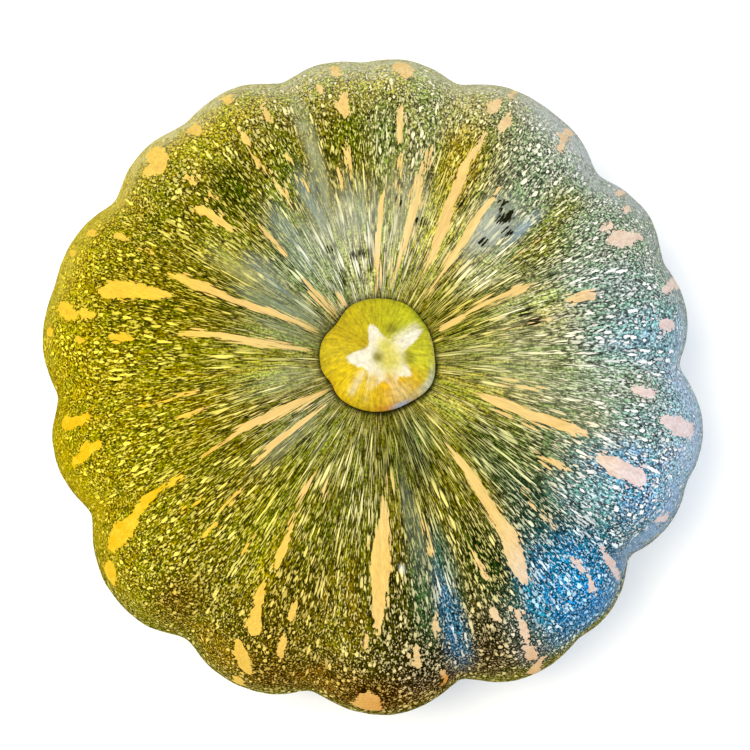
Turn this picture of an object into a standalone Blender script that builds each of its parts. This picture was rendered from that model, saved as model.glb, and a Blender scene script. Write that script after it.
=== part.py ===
"""A whole ribbed winter squash with its stem cut short, in metres, +Z up.

Two solids: the fruit, a flattened globe with uneven ribs, a hollow crown and a hollow
blossom end, and the corky stem stub that sits in the crown.  The squash rests on flat
pads under its ribs, on the plane z = 0, with its box centred on the z axis.
"""
import math

import bmesh
import bpy

NAME = "kabocha_squash"

# Fruit: the smooth globe that the rib crests follow
CREST_RADIUS = 0.100
CROWN_HEIGHT = 0.063
BASE_DEPTH = 0.057
SHOULDER_FULLNESS = 0.030
CROWN_SHIFT = (0.0015, -0.0025)
# Out of round: lobes around the rim, share of the radius, direction in degrees
OUT_OF_ROUND = ((2, 0.0135, 124.0), (3, 0.0095, 99.0))

# Grooves: azimuth at the rim, lean towards the crown (degrees), depth
GROOVES = (
    (3.0, -4.0, 0.0135),
    (21.5, 0.0, 0.0075),
    (43.0, -3.0, 0.0115),
    (56.0, 0.0, 0.0017),
    (74.5, -2.0, 0.0117),
    (92.0, 0.0, 0.0065),
    (107.0, 1.0, 0.0110),
    (126.0, 2.0, 0.0085),
    (144.5, 5.0, 0.0110),
    (163.5, 2.0, 0.0030),
    (183.0, 4.0, 0.0105),
    (205.5, 3.0, 0.0130),
    (234.5, 2.0, 0.0110),
    (259.0, 0.0, 0.0115),
    (286.5, 0.0, 0.0140),
    (308.5, -3.0, 0.0055),
    (325.5, -5.0, 0.0140),
    (341.5, -3.0, 0.0050),
)
GROOVE_SPREAD = 11.8      # degrees
GROOVE_ROUNDING = 1.6     # degrees
CREST_LEVEL = 0.0105      # what the grooves' tails take off a typical crest
GROOVE_FADE = 1.2         # how fast the grooves die out towards the poles
SMOOTH_POLE = 0.018       # radius within which they are smoothed away

# Hollows at the two poles: depth and radius
CROWN_HOLLOW = (0.0110, 0.024)
BLOSSOM_HOLLOW = (0.0100, 0.028)
PAD_CUT = 0.0015          # how much of the lowest crest is flattened where it rests

# Stem stub, in its own polar coordinates about an axis a little off the crown's
STEM_SHIFT = (-0.0003, 0.0010)
STEM_GIRTH = 0.0158
# Lobes of its outline: azimuth, half width (degrees), how far it stands out
STEM_LOBES = ((332.0, 20.0, 0.0014), (60.0, 18.0, 0.0005), (142.0, 18.0, -0.0016), (212.0, 11.0, -0.0010))
STEM_GIRTH_HEIGHT = 0.0032    # above the skin under it
STEM_CUT_HEIGHT = 0.0135      # the cut face above the bottom of the crown's hollow
STEM_FOOT = 0.90              # radius of the stem's foot as a share of its girth
STEM_FOOT_CURL = 1.5          # how sharply its underside turns up to the girth
STEM_SHOULDER = (1.7, 0.62)   # exponents of the fall from the cut face to the girth
SEAT_GAP = 0.0005
# Ridges of the stem, which make the cut face a star: azimuth, length, half width (degrees)
STAR_CENTRE = (0.0021, -0.0022)
STAR_VALLEY = 0.0048
STAR_ARMS = (
    (39.0, 0.0122, 11.0),
    (112.0, 0.0092, 15.0),
    (180.0, 0.0095, 17.0),
    (244.0, 0.0090, 14.0),
    (290.0, 0.0080, 12.0),
    (328.0, 0.0076, 14.0),
)
PITH_DIMPLE = (0.0014, 0.0026)    # depth and radius

# Mesh resolution: segments around, rings from pole to pole
FRUIT_MESH = (120, 36)
STEM_MESH = (60, 24)
POLE_DENSITY = 0.2        # draws the fruit's rings towards its poles
STEM_TOP_SHARE = 0.68     # share of the stem's rings above its girth


def turn(angle):
    """An angle in degrees brought between -180 and 180."""
    return (angle + 180.0) % 360.0 - 180.0


def bump(distance, width):
    """A smooth hill, 1 at distance 0."""
    return math.exp(-(distance / width) ** 2)


def globe_profile(polar):
    """Radius and height of the smooth globe at a polar angle, 0 at the crown."""
    fullness = 1.0 - SHOULDER_FULLNESS
    radius = CREST_RADIUS * (math.sin(polar) + SHOULDER_FULLNESS * math.sin(3.0 * polar)) / fullness
    rise = (math.cos(polar) - SHOULDER_FULLNESS * math.cos(3.0 * polar)) / fullness
    return radius, rise * (CROWN_HEIGHT if rise > 0.0 else BASE_DEPTH)


def globe_normal(polar):
    """Outward normal of the globe's profile, as radial and vertical parts."""
    step = 1e-4
    radius_before, height_before = globe_profile(polar - step)
    radius_after, height_after = globe_profile(polar + step)
    along, down = radius_after - radius_before, height_after - height_before
    length = math.hypot(along, down)
    return -down / length, along / length


def groove_depth(azimuth, crownward):
    """Depth of the skin below the globe; crownward runs from 0 at the rim to 1 at the crown."""
    depth = -CREST_LEVEL
    for rim_azimuth, lean, groove in GROOVES:
        away = turn(azimuth - rim_azimuth - lean * crownward)
        tail = math.hypot(away, GROOVE_ROUNDING) - GROOVE_ROUNDING
        depth += groove * math.exp(-tail / GROOVE_SPREAD)
    return depth


def skin_point(azimuth, polar):
    """A point of the fruit's skin at an azimuth in degrees and a polar angle in radians."""
    globe_radius, height = globe_profile(polar)
    outward, upward = globe_normal(polar)
    crownward = max(math.cos(polar), 0.0)
    fade = max(math.sin(polar), 0.0) ** GROOVE_FADE * (1.0 - bump(globe_radius, SMOOTH_POLE))
    depth = fade * groove_depth(azimuth, crownward)
    swell = 1.0 + sum(share * math.cos(math.radians(lobes * (azimuth - direction)))
                      for lobes, share, direction in OUT_OF_ROUND)
    radius = globe_radius * swell - outward * depth
    height -= upward * depth
    if height > 0.0:
        height -= CROWN_HOLLOW[0] * bump(globe_radius, CROWN_HOLLOW[1])
    else:
        height += BLOSSOM_HOLLOW[0] * bump(globe_radius, BLOSSOM_HOLLOW[1])
    turned = math.radians(azimuth)
    x = radius * math.cos(turned) + CROWN_SHIFT[0] * crownward
    y = radius * math.sin(turned) + CROWN_SHIFT[1] * crownward
    return x, y, height


def crown_height(azimuth, radius):
    """Height of the skin in the crown's hollow, near enough to the axis to have no grooves."""
    polar = math.asin(min(radius / CREST_RADIUS, 1.0))
    for _ in range(4):
        x, y, height = skin_point(azimuth, polar)
        reached = math.hypot(x - CROWN_SHIFT[0], y - CROWN_SHIFT[1])
        polar += (radius - reached) / CREST_RADIUS
    return height


def height_under_stem(azimuth, radius):
    """Height of the skin under a place on the stem, given about the stem's own axis."""
    turned = math.radians(azimuth)
    x, y = radius * math.cos(turned) + STEM_SHIFT[0], radius * math.sin(turned) + STEM_SHIFT[1]
    return crown_height(math.degrees(math.atan2(y, x)), math.hypot(x, y))


def stem_outline(azimuth):
    """Radius of the stem's girth."""
    return STEM_GIRTH + sum(out * bump(turn(azimuth - at), width) for at, width, out in STEM_LOBES)


def star_radius(azimuth):
    """Radius of the cut face about its own centre."""
    return STAR_VALLEY + sum((length - STAR_VALLEY) * bump(turn(azimuth - at), width)
                             for at, length, width in STAR_ARMS)


def stem_top_height(x, y, girth_height):
    """Height of the stem's upper side: a cut star, falling in ridges and valleys to the girth."""
    cut_height = crown_height(0.0, 0.0) + STEM_CUT_HEIGHT
    star_x, star_y = x - STAR_CENTRE[0], y - STAR_CENTRE[1]
    from_star = math.hypot(star_x, star_y)
    edge = star_radius(math.degrees(math.atan2(star_y, star_x)))
    if from_star <= edge:
        return cut_height - PITH_DIMPLE[0] * bump(from_star, PITH_DIMPLE[1])
    radius = math.hypot(x, y)
    outline = stem_outline(math.degrees(math.atan2(y, x)))
    to_outline = max(outline - radius, 0.0)
    fallen = (from_star - edge) / (from_star - edge + to_outline)
    shoulder = (1.0 - fallen ** STEM_SHOULDER[0]) ** STEM_SHOULDER[1]
    return girth_height + (cut_height - girth_height) * shoulder


def stem_point(azimuth, share):
    """A point of the stem; share runs from 0 at the middle of its top to 1 under its foot."""
    outline = stem_outline(azimuth)
    girth_height = height_under_stem(azimuth, outline) + STEM_GIRTH_HEIGHT
    turned = math.radians(azimuth)
    if share <= STEM_TOP_SHARE:
        radius = outline * math.sin(0.5 * math.pi * share / STEM_TOP_SHARE)
        x, y = radius * math.cos(turned), radius * math.sin(turned)
        height = stem_top_height(x, y, girth_height)
    else:
        under = (share - STEM_TOP_SHARE) / (1.0 - STEM_TOP_SHARE)
        radius = outline * math.cos(0.5 * math.pi * under)
        x, y = radius * math.cos(turned), radius * math.sin(turned)
        seat = height_under_stem(azimuth, radius) + SEAT_GAP
        tuck = max(radius / outline - STEM_FOOT, 0.0) / (1.0 - STEM_FOOT)
        height = seat + (girth_height - seat) * tuck ** STEM_FOOT_CURL
    return x + CROWN_SHIFT[0] + STEM_SHIFT[0], y + CROWN_SHIFT[1] + STEM_SHIFT[1], height


def sphere_object(name, segments, rings, place, material, collection):
    """A UV sphere whose vertices are moved by place(azimuth in degrees, polar angle)."""
    mesh = bpy.data.meshes.new(name)
    shape = bmesh.new()
    bmesh.ops.create_uvsphere(shape, u_segments=segments, v_segments=rings, radius=1.0)
    for vertex in shape.verts:
        azimuth = math.degrees(math.atan2(vertex.co.y, vertex.co.x))
        polar = math.acos(max(-1.0, min(1.0, vertex.co.z)))
        vertex.co = place(azimuth, polar)
    bmesh.ops.triangulate(shape, faces=shape.faces)
    shape.to_mesh(mesh)
    shape.free()
    mesh.shade_smooth()
    mesh.materials.append(material)
    thing = bpy.data.objects.new(name, mesh)
    collection.objects.link(thing)
    return thing


def resting_plane():
    """Height of the plane that the ribs' lowest crests are cut back to."""
    lowest = min(skin_point(azimuth, math.radians(polar))[2]
                 for azimuth in range(0, 360, 3) for polar in range(120, 176, 2))
    return lowest + PAD_CUT


def fruit_vertex(azimuth, polar, floor):
    """A vertex of the fruit, with the rings drawn towards the poles and the pads cut flat."""
    x, y, height = skin_point(azimuth, polar - POLE_DENSITY * math.sin(2.0 * polar))
    return x, y, max(height, floor)


def stem_vertex(azimuth, polar):
    """A vertex of the stem."""
    return stem_point(azimuth, polar / math.pi)


def surface_material(name, color, roughness):
    """A Principled material."""
    material = bpy.data.materials.new(name)
    material.use_nodes = True
    shader = material.node_tree.nodes["Principled BSDF"]
    shader.inputs["Base Color"].default_value = (*color, 1.0)
    shader.inputs["Roughness"].default_value = roughness
    shader.inputs["Metallic"].default_value = 0.0
    material.diffuse_color = (*color, 1.0)
    return material


def stand_on_origin(things):
    """Moves the meshes together, so that their box stands on z = 0 over the origin."""
    points = [vertex.co for thing in things for vertex in thing.data.vertices]
    low = [min(point[axis] for point in points) for axis in range(3)]
    high = [max(point[axis] for point in points) for axis in range(3)]
    shift = (-(low[0] + high[0]) / 2.0, -(low[1] + high[1]) / 2.0, -low[2])
    for point in points:
        point.x += shift[0]
        point.y += shift[1]
        point.z += shift[2]


def build():
    """Clears the scene and builds the squash."""
    for thing in list(bpy.data.objects):
        bpy.data.objects.remove(thing, do_unlink=True)
    collection = bpy.data.collections.new(NAME)
    bpy.context.scene.collection.children.link(collection)
    skin = surface_material("skin", (0.10, 0.13, 0.03), 0.5)
    cork = surface_material("cork", (0.62, 0.50, 0.08), 0.75)
    floor = resting_plane()
    fruit = sphere_object("fruit", *FRUIT_MESH, lambda azimuth, polar: fruit_vertex(azimuth, polar, floor),
                          skin, collection)
    stem = sphere_object("stem", *STEM_MESH, stem_vertex, cork, collection)
    stand_on_origin((fruit, stem))


build()
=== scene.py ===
"""Looks of the ribbed winter squash: its mottled rind, its corky stem, floor, light and camera.

The rind follows the same formula as the CAD fruit, on a finer mesh.  Places on it are given as
an azimuth in degrees and the distance along the rind from the crown, in millimetres.
"""
import math

import bmesh
import bpy
import numpy as np
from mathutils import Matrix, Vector, noise


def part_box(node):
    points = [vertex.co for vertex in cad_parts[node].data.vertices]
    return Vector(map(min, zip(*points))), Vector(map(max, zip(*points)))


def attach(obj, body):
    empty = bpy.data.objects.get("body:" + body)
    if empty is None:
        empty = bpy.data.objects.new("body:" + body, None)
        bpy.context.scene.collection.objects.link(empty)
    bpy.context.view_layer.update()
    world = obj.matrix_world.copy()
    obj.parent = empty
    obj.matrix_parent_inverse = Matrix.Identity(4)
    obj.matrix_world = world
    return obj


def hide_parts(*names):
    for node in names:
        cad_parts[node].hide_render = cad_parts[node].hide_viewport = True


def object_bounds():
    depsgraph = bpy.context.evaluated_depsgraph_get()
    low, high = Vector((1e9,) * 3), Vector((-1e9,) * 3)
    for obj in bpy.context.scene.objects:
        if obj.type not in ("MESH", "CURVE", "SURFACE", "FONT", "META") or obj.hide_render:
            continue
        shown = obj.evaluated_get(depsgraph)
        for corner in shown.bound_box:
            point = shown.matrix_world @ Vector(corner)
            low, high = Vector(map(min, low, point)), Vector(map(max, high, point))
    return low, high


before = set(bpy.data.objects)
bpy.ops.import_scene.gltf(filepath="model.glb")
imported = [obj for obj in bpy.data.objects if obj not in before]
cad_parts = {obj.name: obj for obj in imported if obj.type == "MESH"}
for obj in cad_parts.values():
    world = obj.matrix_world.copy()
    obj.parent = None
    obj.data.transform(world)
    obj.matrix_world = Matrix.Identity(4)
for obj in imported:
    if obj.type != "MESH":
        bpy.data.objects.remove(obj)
CAD_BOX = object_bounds()
FRUIT_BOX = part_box("fruit")
STEM_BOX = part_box("stem")
MM = 0.001

# ---------------------------------------------------------------- shape, as the CAD fruit's

CREST_RADIUS = 100.0
CROWN_HEIGHT = 63.0
BASE_DEPTH = 57.0
SHOULDER_FULLNESS = 0.030
CROWN_SHIFT = (1.5, -2.5)
OUT_OF_ROUND = ((2, 0.0135, 124.0), (3, 0.0095, 99.0))
# Azimuth at the rim, lean towards the crown (degrees) and depth, fitted to the outline and rounded
GROOVES = np.array((
    (3.0, -4.0, 13.5), (21.5, 0.0, 7.5), (43.0, -3.0, 11.5), (56.0, 0.0, 1.7), (74.5, -2.0, 11.7),
    (92.0, 0.0, 6.5), (107.0, 1.0, 11.0), (126.0, 2.0, 8.5), (144.5, 5.0, 11.0), (163.5, 2.0, 3.0),
    (183.0, 4.0, 10.5), (205.5, 3.0, 13.0), (234.5, 2.0, 11.0), (259.0, 0.0, 11.5),
    (286.5, 0.0, 14.0), (308.5, -3.0, 5.5), (325.5, -5.0, 14.0), (341.5, -3.0, 5.0)))
GROOVE_SPREAD = 11.8
GROOVE_ROUNDING = 1.6
CREST_LEVEL = 10.5
GROOVE_FADE = 1.2
SMOOTH_POLE = 18.0
CROWN_HOLLOW = (11.0, 24.0)
BLOSSOM_HOLLOW = (10.0, 28.0)
PAD_CUT = 1.5

STEM_SHIFT = (-0.3, 1.0)
STEM_GIRTH = 15.8
STEM_LOBES = ((332.0, 20.0, 1.4), (60.0, 18.0, 0.5), (142.0, 18.0, -1.6), (212.0, 11.0, -1.0))
STEM_GIRTH_HEIGHT = 3.2
STEM_CUT_HEIGHT = 13.5
STEM_FOOT = 0.90
STEM_FOOT_CURL = 1.5
STEM_SHOULDER = (1.7, 0.62)
SEAT_GAP = 0.5
STAR_CENTRE = (2.1, -2.2)
STAR_VALLEY = 4.8
STAR_ARMS = ((39.0, 12.2, 11.0), (112.0, 9.2, 15.0), (180.0, 9.5, 17.0),
             (244.0, 9.0, 14.0), (290.0, 8.0, 12.0), (328.0, 7.6, 14.0))
PITH_DIMPLE = (1.4, 2.6)

FRUIT_MESH = (500, 198)
STEM_MESH = (300, 160)
TOP_RING_SHARE = 0.6      # share of the fruit's rings that lie above the rim
STEM_TOP_SHARE = 0.72     # share of the stem's rings above its girth
CROWN_ROUNDS = 4          # rounds of finding a place on the crown from its radius
UNEVENNESS = (15.0, 0.45)     # of the rind: size and height in mm
UNEVEN_FROM = (18.0, 34.0)    # where it begins and is full, in mm from the crown
STEM_FIBRES = (0.9, 0.16)     # of the stem: width and height in mm
FIBRE_STRETCH = 0.25          # how fast the fibres change outwards, as a share of round the stem
FIBRES_FULL = 1.5             # how far outside the cut star the fibres stand out fully, in mm
CUT_GRAIN = (1.4, 0.5)        # unevenness of the whole top: size in mm, share of the fibres' height


def turn(angle):
    """Angles in degrees brought between -180 and 180."""
    return (angle + 180.0) % 360.0 - 180.0


def bump(distance, width):
    """A smooth hill, 1 at distance 0."""
    return np.exp(-(distance / width) ** 2)


def ramp(value, low, high):
    """A smooth step from 0 at low to 1 at high."""
    share = np.clip((value - low) / (high - low), 0.0, 1.0)
    return share * share * (3.0 - 2.0 * share)


def globe_profile(polar):
    """Radius and height of the smooth globe at polar angles, 0 at the crown."""
    fullness = 1.0 - SHOULDER_FULLNESS
    radius = CREST_RADIUS * (np.sin(polar) + SHOULDER_FULLNESS * np.sin(3.0 * polar)) / fullness
    rise = (np.cos(polar) - SHOULDER_FULLNESS * np.cos(3.0 * polar)) / fullness
    return radius, rise * np.where(rise > 0.0, CROWN_HEIGHT, BASE_DEPTH)


def globe_normal(polar):
    """Outward normal of the globe's profile, as radial and vertical parts."""
    step = 1e-4
    radius_before, height_before = globe_profile(polar - step)
    radius_after, height_after = globe_profile(polar + step)
    along, down = radius_after - radius_before, height_after - height_before
    length = np.hypot(along, down)
    return -down / length, along / length


def groove_depth(azimuth, crownward):
    """Depth of the rind below the globe."""
    depth = np.full_like(azimuth, -CREST_LEVEL)
    for rim_azimuth, lean, groove in GROOVES:
        away = turn(azimuth - rim_azimuth - lean * crownward)
        tail = np.hypot(away, GROOVE_ROUNDING) - GROOVE_ROUNDING
        depth += groove * np.exp(-tail / GROOVE_SPREAD)
    return depth


def skin_points(azimuth, polar):
    """Points of the rind at azimuths in degrees and polar angles in radians, in mm."""
    globe_radius, height = globe_profile(polar)
    outward, upward = globe_normal(polar)
    crownward = np.maximum(np.cos(polar), 0.0)
    fade = np.maximum(np.sin(polar), 0.0) ** GROOVE_FADE * (1.0 - bump(globe_radius, SMOOTH_POLE))
    depth = fade * groove_depth(azimuth, crownward)
    swell = 1.0 + sum(share * np.cos(np.radians(lobes * (azimuth - direction)))
                      for lobes, share, direction in OUT_OF_ROUND)
    radius = globe_radius * swell - outward * depth
    height = height - upward * depth
    hollow = np.where(height > 0.0, -CROWN_HOLLOW[0] * bump(globe_radius, CROWN_HOLLOW[1]),
                      BLOSSOM_HOLLOW[0] * bump(globe_radius, BLOSSOM_HOLLOW[1]))
    turned = np.radians(azimuth)
    x = radius * np.cos(turned) + CROWN_SHIFT[0] * crownward
    y = radius * np.sin(turned) + CROWN_SHIFT[1] * crownward
    return np.stack((x, y, height + hollow), -1)


def stem_outline(azimuth):
    """Radius of the stem's girth about its own axis."""
    return STEM_GIRTH + sum(out * bump(turn(azimuth - at), width) for at, width, out in STEM_LOBES)


def column_azimuth(column, polar):
    """True azimuth of a mesh column, which leans towards the crown as the grooves beside it do."""
    lean = np.interp(column % 360.0, GROOVES[:, 0], GROOVES[:, 1], period=360.0)
    return column + lean * np.maximum(np.cos(polar), 0.0)


def resting_plane():
    """Height of the plane that the ribs' lowest crests are cut back to."""
    azimuth, polar = np.meshgrid(np.arange(0.0, 360.0, 3.0), np.radians(np.arange(120.0, 176.0, 2.0)))
    return skin_points(azimuth, polar)[..., 2].min() + PAD_CUT


PROFILE_POLAR = np.linspace(0.0, math.pi, 1801)
PROFILE_RADIUS, PROFILE_HEIGHT = globe_profile(PROFILE_POLAR)
PROFILE_ALONG = np.concatenate(([0.0], np.cumsum(np.hypot(np.diff(PROFILE_RADIUS),
                                                          np.diff(PROFILE_HEIGHT)))))
WHOLE_MERIDIAN = PROFILE_ALONG[-1]
RIM_ALONG = PROFILE_ALONG[len(PROFILE_ALONG) // 2]


def ring_radius(along):
    """Radius of the globe at distances along the rind from the crown."""
    return np.interp(along, PROFILE_ALONG, PROFILE_RADIUS)


# ---------------------------------------------------------------- colours

LIGHT_LEVEL = 1.51        # what a matt white surface sends back in the studio's light


def paint(red, green, blue):
    """The surface colour that looks like display values up to 255 in the studio's light."""
    shares = np.array((red, green, blue)) / 255.0
    linear = np.where(shares <= 0.04045, shares / 12.92, ((shares + 0.055) / 1.055) ** 2.4)
    return linear / LIGHT_LEVEL


# The rind's tones, as they look in the studio's light; flecks are too small to keep their full tone
FLECK_GAIN = 1.4
OLIVE = (86, 80, 2)
CREAM_FLECK = (226, 212, 118)
# Below the rim zones are drawn out, and over so many mm grooves get painted shade and marks less tinted
BELOW_RIM = 30.0
ZONE_TAIL = 0.4
GROOVE_SHADE = 0.5
TINT_LOSS = 0.6
# Soft zones, broad ones first: azimuth, distance, half width (degrees), half length, ground tone,
# fleck tone, strength and, where the flecks there are of another size, how far they shrink
# The zones of the sides are partly painted light: warmer on the left, bluer on the right, paler at the
# rim, and painted shade low in front
ZONES = (
    # the crown
    (350, 24, 34, 18, (136, 132, 36), (222, 212, 126), 0.9),
    (28, 30, 18, 15, (58, 64, 0), (250, 228, 96), 0.95),
    (6, 23, 9, 8, (92, 94, 30), (196, 192, 120), 0.85),
    (42, 41, 8, 10, (156, 152, 92), (250, 242, 198), 0.85),
    (65, 38, 16, 16, (168, 162, 72), (250, 234, 166), 0.8),
    (92, 27, 24, 16, (126, 128, 54), (250, 244, 212), 0.95),
    (104, 27, 12, 12, (152, 152, 98), (252, 248, 220), 0.8),
    (121, 27, 17, 15, (112, 122, 72), (242, 242, 216), 0.95),
    (131, 32, 4, 12, (66, 86, 46), (204, 212, 160), 0.8),
    (145, 27, 9, 11, (78, 88, 50), (176, 184, 150), 0.9),
    (166, 28, 22, 15, (112, 114, 52), (184, 184, 134), 0.95),
    (178, 34, 7, 11, (132, 126, 16), (196, 188, 92), 0.85),
    (158, 51, 11, 12, (10, 12, 0), (146, 142, 70), 0.95),
    (190, 28, 9, 12, (138, 140, 72), (210, 208, 156), 0.85),
    (212, 26, 20, 13, (90, 94, 32), (226, 220, 176), 0.9),
    (206, 55, 18, 12, (58, 54, 0), (206, 192, 92), 0.8),
    (203, 36, 6, 16, (62, 60, 0), (238, 216, 130), 0.8),
    (233, 54, 8, 17, (98, 102, 2), (228, 218, 96), 0.7),
    (240, 24, 15, 13, (100, 104, 22), (222, 218, 152), 0.9),
    (264, 34, 13, 18, (88, 90, 18), (238, 228, 164), 0.85),
    (280, 26, 8, 14, (80, 82, 8), (186, 182, 100), 0.9),
    (292, 28, 7, 13, (38, 48, 14), (146, 150, 96), 0.9),
    (329, 44, 9, 16, (46, 64, 12), (198, 200, 136), 0.85),
    (62, 21, 10, 6, (112, 110, 24), (218, 208, 130), 0.75),
    (40, 38, 4, 8, (180, 172, 100), (252, 246, 204), 0.6),
    (252, 52, 5, 10, (70, 74, 4), (216, 206, 106), 0.65),
    (270, 29, 6, 12, (58, 58, 4), (196, 188, 108), 0.75),
    (302, 23, 9, 7, (72, 86, 38), (184, 186, 120), 0.75),
    (330, 23, 6, 8, (152, 148, 62), (236, 230, 156), 0.6),
    (320, 44, 5, 12, (48, 68, 30), (186, 190, 130), 0.75),
    (25, 66, 7, 10, (92, 114, 86), (226, 232, 204), 0.65),
    # the sides: partly the rind's own tones and partly painted light, warm on the left, blue-grey on the
    # right, pale at the rim, painted shade and warm reflected light low in front
    (184, 84, 46, 42, (112, 102, 0), (244, 226, 80), 1),
    (161, 68, 14, 20, (80, 74, 0), (232, 208, 64), 0.8),
    (92, 102, 42, 22, (156, 150, 62), (240, 232, 190), 0.95),
    (125, 94, 12, 16, (142, 130, 0), (234, 216, 90), 0.9),
    (38, 86, 26, 38, (112, 128, 104), (242, 242, 222), 0.95),
    (0, 80, 24, 38, (118, 134, 112), (244, 246, 236), 0.95),
    (316, 88, 20, 26, (14, 82, 98), (226, 242, 252), 0.95, -0.12),
    (279, 90, 17, 36, (34, 30, 0), (218, 202, 140), 0.95),
    (249, 86, 12, 26, (68, 54, 0), (224, 194, 84), 0.85),
    (262, 78, 8, 16, (98, 86, 4), (232, 210, 116), 0.7),
    (170, 108, 52, 22, (138, 122, 0), (250, 222, 50), 0.85),
    (266, 108, 28, 14, (66, 38, 0), (208, 166, 72), 0.85),
    (281, 68, 3, 20, (56, 84, 46), (190, 196, 158), 0.7),
    (229, 94, 5, 14, (74, 46, 0), (206, 172, 68), 0.75),
    (240, 66, 4, 12, (124, 116, 0), (246, 228, 100), 0.7),
    (240, 107, 6, 9, (124, 96, 0), (232, 200, 84), 0.65),
    (260, 107, 5, 8, (100, 70, 0), (224, 192, 84), 0.65),
    (271, 106, 5, 8, (36, 14, 0), (184, 144, 56), 0.75),
    (300, 106, 4, 8, (62, 68, 62), (196, 188, 172), 0.65),
    (0, 94, 5, 10, (92, 122, 116), (222, 232, 224), 0.65),
    # darker patches near the top
    (96, 65, 5, 9, (68, 72, 0), (236, 228, 120), 0.9, 0.3),
    (113, 63, 4, 8, (76, 84, 4), (240, 232, 130), 0.95, 0.3),
    (128, 64, 6.4, 9, (46, 54, 0), (206, 196, 84), 0.95, 0.35),
    (141, 68, 6, 12, (76, 74, 0), (222, 208, 84), 0.6),
    (151, 45, 2, 6, (60, 62, 4), (220, 208, 80), 0.7, 0.3),
    # yellow patches towards the upper right
    (37, 58, 8, 12, (88, 90, 0), (250, 244, 170), 0.9),
    (42, 73, 5, 13, (96, 98, 16), (236, 230, 166), 0.85),
    (18, 80, 6, 20, (108, 132, 124), (236, 242, 240), 0.7),
    (72, 86, 6, 15, (154, 148, 84), (246, 236, 180), 0.75),
    (68, 62, 8, 16, (128, 112, 6), (246, 222, 112), 0.9),
    (80, 72, 5, 36, (126, 132, 74), (238, 234, 190), 0.8),
    (88, 67, 5, 18, (106, 114, 54), (238, 234, 180), 0.8),
    (5, 48, 12, 12, (120, 124, 70), (242, 234, 184), 0.75),
    (20, 46, 7, 11, (150, 148, 84), (250, 244, 200), 0.85),
    (140, 52, 5, 9, (120, 120, 28), (240, 232, 126), 0.75),
    (119, 52, 5, 9, (98, 102, 24), (246, 242, 170), 0.75),
    (343, 57, 8, 12, (84, 98, 46), (250, 234, 190), 0.8, -0.1),
    # dark ones on the right
    (300, 64, 7, 16, (18, 38, 0), (222, 208, 120), 0.95),
    (320, 60, 9, 12, (12, 52, 32), (214, 216, 176), 0.8),
    # blue and grey patches on the right and at the rim: partly waxy bloom, partly painted cool light and
    # glow
    (314, 92, 9, 20, (0, 108, 162), (190, 228, 252), 0.9, -0.1),
    (313, 107, 9, 9, (4, 88, 130), (128, 184, 222), 0.75),
    (305, 86, 2.2, 12, (0, 104, 128), (160, 208, 232), 0.8),
    (299, 98, 3, 12, (48, 52, 34), (216, 206, 196), 0.8),
    (286.5, 82, 3, 24, (38, 94, 124), (192, 214, 228), 0.85),
    (289, 60, 3, 12, (50, 84, 64), (184, 196, 168), 0.7),
    (293, 96, 4, 20, (26, 14, 0), (196, 170, 120), 0.8),
    (280, 98, 6, 12, (6, 8, 0), (214, 198, 160), 0.6),
    (338, 86, 8, 24, (78, 132, 168), (246, 248, 254), 0.9, -0.1),
    (330, 72, 5, 12, (100, 140, 140), (240, 244, 248), 0.75),
    (352, 102, 13, 16, (128, 160, 184), (236, 240, 248), 0.85),
    (350, 80, 4, 12, (90, 124, 124), (226, 236, 236), 0.7),
    (8, 88, 6, 26, (96, 140, 158), (232, 238, 244), 0.75),
    (52, 100, 8, 14, (158, 162, 142), (236, 234, 230), 0.8),
)
# The big marks' tones: peach, more golden on the left, partly painted warm light, pinker on the right,
# and orange-brown low in front, a painted warm reflected light
PEACH = (242, 203, 126)
MARK_SIDES = (
    (200, 76, 34, 72, (250, 198, 18)),
    (350, 60, 52, 84, (240, 212, 206)),
    (282, 18, 92, 112, (232, 150, 50)),
)

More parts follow.
